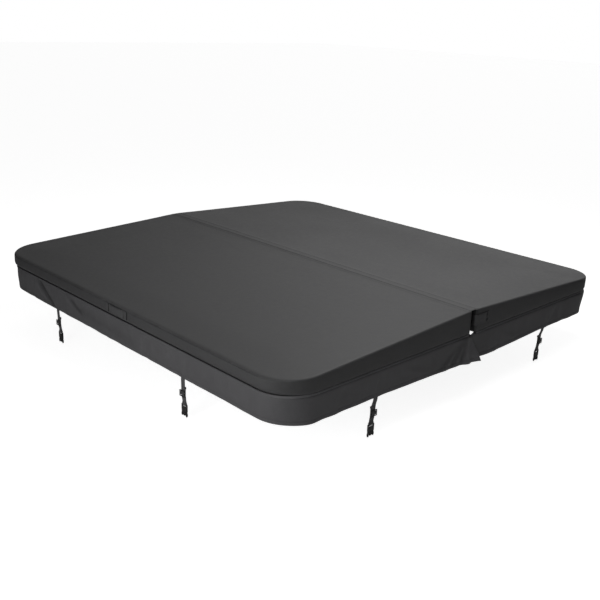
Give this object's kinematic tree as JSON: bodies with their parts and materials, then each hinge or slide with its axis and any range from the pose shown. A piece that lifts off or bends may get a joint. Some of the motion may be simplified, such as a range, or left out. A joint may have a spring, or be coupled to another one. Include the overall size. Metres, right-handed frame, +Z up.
{
  "type": "spa cover",
  "caption": "Square tapered foam spa cover in dark vinyl that folds in half at a fabric hinge, with a hanging skirt, carry handles and buckle tie-down straps.",
  "frame": {"origin": "centre of the cover on the plane of its underside, where it sits on the spa's rim", "axes": "+Z up, Y along the fold, near folding panel at -X, far panel at +X"},
  "size_m": [2.1194, 2.1174, 0.3893],
  "materials": {
    "cover_vinyl": "satin",
    "skirt_vinyl": "satin",
    "handle_vinyl": "satin",
    "liner": "matte",
    "foam": "matte",
    "film": "gloss",
    "galvanised": "satin",
    "zip_tape": "matte",
    "zip_teeth": "satin",
    "zip_metal": "satin",
    "webbing": "matte",
    "clip_plastic": "satin"
  },
  "bodies": {
    "far_panel": {"far_foam_core": "foam", "far_vapour_barrier": "film", "far_c_channel": "galvanised", "far_top_vinyl": "cover_vinyl", "far_side_band": "cover_vinyl", "far_underside_liner": "liner", "far_welt": "cover_vinyl", "far_skirt": "skirt_vinyl", "far_hinge_strip": "cover_vinyl", "far_handle": "handle_vinyl", "far_zip_tape": "zip_tape", "far_zip_teeth": "zip_teeth", "far_strap_roots": "webbing", "steam_seal": "skirt_vinyl", "fold_handle_front": "handle_vinyl", "fold_handle_back": "handle_vinyl"},
    "near_panel": {"near_foam_core": "foam", "near_vapour_barrier": "film", "near_c_channel": "galvanised", "near_top_vinyl": "cover_vinyl", "near_side_band": "cover_vinyl", "near_underside_liner": "liner", "near_welt": "cover_vinyl", "near_skirt": "skirt_vinyl", "near_hinge_strip": "cover_vinyl", "near_handle": "handle_vinyl", "near_zip_tape": "zip_tape", "near_zip_teeth": "zip_teeth", "near_strap_roots": "webbing"},
    "near_zip_slider": {"near_zip_slider": "zip_metal"},
    "near_zip_pull": {"near_zip_pull": "zip_metal"},
    "far_zip_slider": {"far_zip_slider": "zip_metal"},
    "far_zip_pull": {"far_zip_pull": "zip_metal"},
    "strap_1": {"strap_1_webbing": "webbing", "strap_1_adjuster": "clip_plastic"},
    "clip_1": {"clip_1": "clip_plastic"},
    "strap_2": {"strap_2_webbing": "webbing", "strap_2_adjuster": "clip_plastic"},
    "clip_2": {"clip_2": "clip_plastic"},
    "strap_3": {"strap_3_webbing": "webbing", "strap_3_adjuster": "clip_plastic"},
    "clip_3": {"clip_3": "clip_plastic"},
    "strap_4": {"strap_4_webbing": "webbing", "strap_4_adjuster": "clip_plastic"},
    "clip_4": {"clip_4": "clip_plastic"},
    "strap_5": {"strap_5_webbing": "webbing", "strap_5_adjuster": "clip_plastic"},
    "clip_5": {"clip_5": "clip_plastic"},
    "strap_6": {"strap_6_webbing": "webbing", "strap_6_adjuster": "clip_plastic"},
    "clip_6": {"clip_6": "clip_plastic"},
    "strap_7": {"strap_7_webbing": "webbing", "strap_7_adjuster": "clip_plastic"},
    "clip_7": {"clip_7": "clip_plastic"},
    "strap_8": {"strap_8_webbing": "webbing", "strap_8_adjuster": "clip_plastic"},
    "clip_8": {"clip_8": "clip_plastic"}
  },
  "joints": [
    {"name": "fold", "type": "hinge", "parent": "far_panel", "child": "near_panel", "pos_m": [0, 0, 0.1043], "axis": [0, 1, 0], "range_deg": [0, 184]},
    {"name": "strap_1_swing", "type": "hinge", "parent": "near_panel", "child": "strap_1", "pos_m": [-1.03475, 0.535, -0.1185], "axis": [0, 1, 0], "range_deg": [-60, 90]},
    {"name": "clip_1_turn", "type": "hinge", "parent": "strap_1", "child": "clip_1", "pos_m": [-1.03075, 0.535, -0.236], "axis": [0, 1, 0], "range_deg": [-70, 70]},
    {"name": "strap_2_swing", "type": "hinge", "parent": "near_panel", "child": "strap_2", "pos_m": [-1.03475, -0.45, -0.1185], "axis": [0, 1, 0], "range_deg": [-60, 90]},
    {"name": "clip_2_turn", "type": "hinge", "parent": "strap_2", "child": "clip_2", "pos_m": [-1.03075, -0.45, -0.236], "axis": [0, 1, 0], "range_deg": [-70, 70]},
    {"name": "strap_3_swing", "type": "hinge", "parent": "near_panel", "child": "strap_3", "pos_m": [-0.585, -1.03475, -0.1185], "axis": [-1, 0, 0], "range_deg": [-60, 90]},
    {"name": "clip_3_turn", "type": "hinge", "parent": "strap_3", "child": "clip_3", "pos_m": [-0.585, -1.03075, -0.236], "axis": [-1, 0, 0], "range_deg": [-70, 70]},
    {"name": "strap_4_swing", "type": "hinge", "parent": "near_panel", "child": "strap_4", "pos_m": [-0.585, 1.03475, -0.1185], "axis": [1, 0, 0], "range_deg": [-60, 90]},
    {"name": "clip_4_turn", "type": "hinge", "parent": "strap_4", "child": "clip_4", "pos_m": [-0.585, 1.03075, -0.236], "axis": [1, 0, 0], "range_deg": [-70, 70]},
    {"name": "strap_5_swing", "type": "hinge", "parent": "far_panel", "child": "strap_5", "pos_m": [0.585, -1.03475, -0.1185], "axis": [-1, 0, 0], "range_deg": [-60, 90]},
    {"name": "clip_5_turn", "type": "hinge", "parent": "strap_5", "child": "clip_5", "pos_m": [0.585, -1.03075, -0.236], "axis": [-1, 0, 0], "range_deg": [-70, 70]},
    {"name": "strap_6_swing", "type": "hinge", "parent": "far_panel", "child": "strap_6", "pos_m": [1.03475, -0.45, -0.1185], "axis": [0, -1, 0], "range_deg": [-60, 90]},
    {"name": "clip_6_turn", "type": "hinge", "parent": "strap_6", "child": "clip_6", "pos_m": [1.03075, -0.45, -0.236], "axis": [0, -1, 0], "range_deg": [-70, 70]},
    {"name": "strap_7_swing", "type": "hinge", "parent": "far_panel", "child": "strap_7", "pos_m": [1.03475, 0.535, -0.1185], "axis": [0, -1, 0], "range_deg": [-60, 90]},
    {"name": "clip_7_turn", "type": "hinge", "parent": "strap_7", "child": "clip_7", "pos_m": [1.03075, 0.535, -0.236], "axis": [0, -1, 0], "range_deg": [-70, 70]},
    {"name": "strap_8_swing", "type": "hinge", "parent": "far_panel", "child": "strap_8", "pos_m": [0.585, 1.03475, -0.1185], "axis": [1, 0, 0], "range_deg": [-60, 90]},
    {"name": "clip_8_turn", "type": "hinge", "parent": "strap_8", "child": "clip_8", "pos_m": [0.585, 1.03075, -0.236], "axis": [1, 0, 0], "range_deg": [-70, 70]},
    {"name": "near_zip_slide", "type": "slide", "parent": "near_panel", "child": "near_zip_slider", "axis": [0, -1, 0], "range_m": [0, 1.97]},
    {"name": "near_pull_turn", "type": "hinge", "parent": "near_zip_slider", "child": "near_zip_pull", "pos_m": [-0.036, 0.985, -0.0064], "axis": [1, 0, 0], "range_deg": [-80, 80]},
    {"name": "far_zip_slide", "type": "slide", "parent": "far_panel", "child": "far_zip_slider", "axis": [0, -1, 0], "range_m": [0, 1.97]},
    {"name": "far_pull_turn", "type": "hinge", "parent": "far_zip_slider", "child": "far_zip_pull", "pos_m": [0.036, 0.985, -0.0064], "axis": [1, 0, 0], "range_deg": [-80, 80]}
  ]
}
